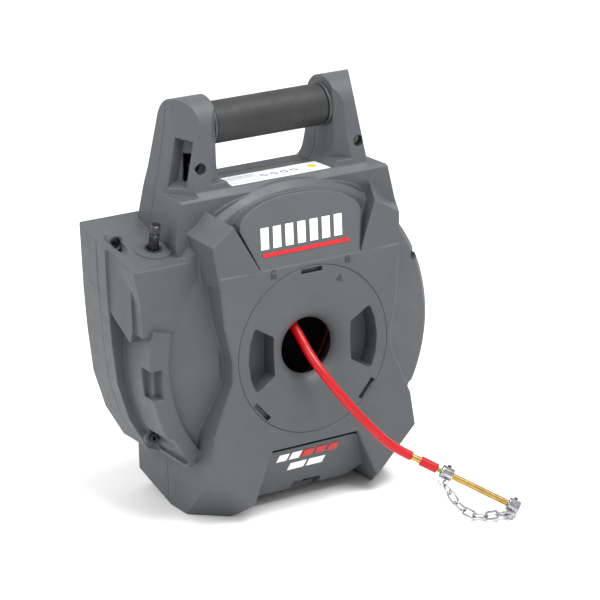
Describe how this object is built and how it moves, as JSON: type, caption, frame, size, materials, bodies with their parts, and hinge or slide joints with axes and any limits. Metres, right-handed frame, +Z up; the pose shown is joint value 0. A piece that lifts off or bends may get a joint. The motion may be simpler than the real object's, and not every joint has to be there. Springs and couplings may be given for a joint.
{
  "type": "drain snake machine",
  "caption": "Hand-carried drum drain cleaner: round two-shell housing with carrying handle, turning front hub, drill-driven shaft and a free red cable with a chain knocker.",
  "frame": {"origin": "centre of the bounding box of the housing without the free cord, on the floor", "axes": "+Z up, -Y out of the hub's front face, +X to the right when facing the hub"},
  "size_m": [0.331, 0.2939, 0.399],
  "materials": {
    "shell_plastic": "fine-grained grey moulding",
    "grip_rubber": "soft matt rubber",
    "dark_plastic": "smooth dark moulding",
    "plain_steel": "turned and zinc-plated",
    "screw_steel": "blackened heads",
    "bright_steel": "bright plated",
    "bush_brass": "turned brass",
    "red_sheath": "smooth red sheath",
    "print_white": "printed",
    "print_pale": "printed",
    "print_red": "printed",
    "label_white": "film label"
  },
  "bodies": {
    "housing": {"front_shell": "shell_plastic", "rear_shell": "shell_plastic", "bearing_block": "shell_plastic", "handle_grip": "grip_rubber", "rear_pads": "grip_rubber", "grip_ring_left": "dark_plastic", "grip_ring_right": "dark_plastic", "drive_bush": "dark_plastic", "handle_tube": "plain_steel", "bearing_outer_rings": "plain_steel", "sheath_clamp": "plain_steel", "block_screws": "screw_steel", "clamp_screw": "screw_steel", "shell_screws": "screw_steel", "sheath": "red_sheath", "sheath_lead": "red_sheath", "cable_coil": "red_sheath", "name_bars_white": "print_white", "badge_bars": "print_pale", "badge_stripe": "print_red", "name_bars_red": "print_red", "deck_label": "label_white"},
    "drive": {"drive_shaft": "screw_steel", "bearing_inner_rings": "plain_steel", "bearing_balls": "plain_steel", "shaft_clip": "plain_steel", "cable_coupling": "plain_steel", "coupling_screws": "screw_steel", "cable_start": "plain_steel"},
    "knocker": {"cable_end": "plain_steel", "cable_ferrule": "bush_brass", "stop_sleeve": "red_sheath", "collar_inner": "bright_steel", "collar_outer": "bright_steel", "spacer_tube": "bush_brass", "set_screws": "screw_steel"},
    "knocker_chain": {"chain_links": "bright_steel"},
    "hub": {"front_hub": "shell_plastic"}
  },
  "joints": [
    {"name": "drive_spin", "type": "hinge", "parent": "housing", "child": "drive", "pos_m": [-0.123, -0.0195, 0.266], "axis": [0, -0.2656, 0.9641], "continuous": true},
    {"name": "knocker_spin", "type": "hinge", "parent": "housing", "child": "knocker", "pos_m": [0.073, -0.1495, 0.06], "axis": [0.7181, -0.5199, -0.4626], "continuous": true},
    {"name": "hub_turn", "type": "hinge", "parent": "housing", "child": "hub", "pos_m": [0.0105, -0.0805, 0.16], "axis": [0, -1, 0], "range_deg": [0, 53]},
    {"name": "chain_swing", "type": "hinge", "parent": "knocker", "child": "knocker_chain", "pos_m": [0.09302, -0.17297, 0.03747], "axis": [0.7181, -0.5199, -0.4626], "range_deg": [-18, 18]}
  ],
  "couplings": [
    {"joint": "knocker_spin", "follows": "drive_spin", "ratio": 1}
  ]
}
